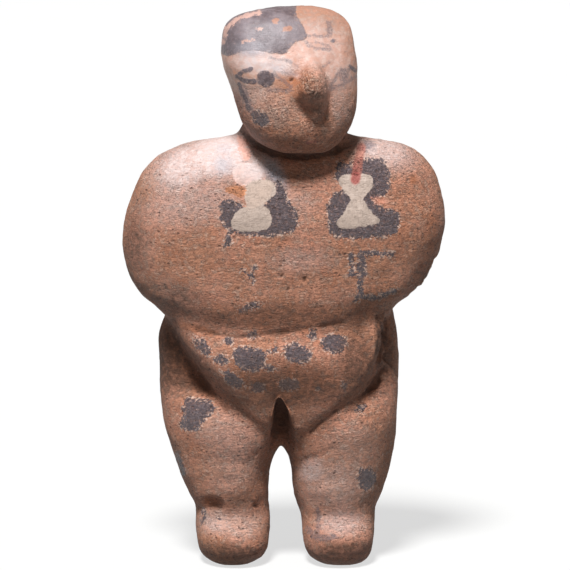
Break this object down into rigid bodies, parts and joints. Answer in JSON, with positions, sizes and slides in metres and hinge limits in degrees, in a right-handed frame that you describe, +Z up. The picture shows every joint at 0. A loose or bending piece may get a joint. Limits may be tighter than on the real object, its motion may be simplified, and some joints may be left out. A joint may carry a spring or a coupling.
{
  "type": "pre-columbian clay figure",
  "caption": "Standing fired-clay figure with a turned ridge-nosed head, thick folded arms, belly and stub legs; worn painted marks.",
  "frame": {"origin": "centre of the figure's footprint box, on the plane that both soles rest on", "axes": "+Z up along the figure, the chest and face towards -Y, +X towards the viewer's right"},
  "size_m": [0.1394, 0.0796, 0.241],
  "materials": {
    "clay": "unglazed coarse reddish-tan fired clay, matt and gritty, with worn slate-grey and cream paint and brown soil stains"
  },
  "bodies": {
    "root": {"clay_figure": "clay"}
  },
  "joints": []
}
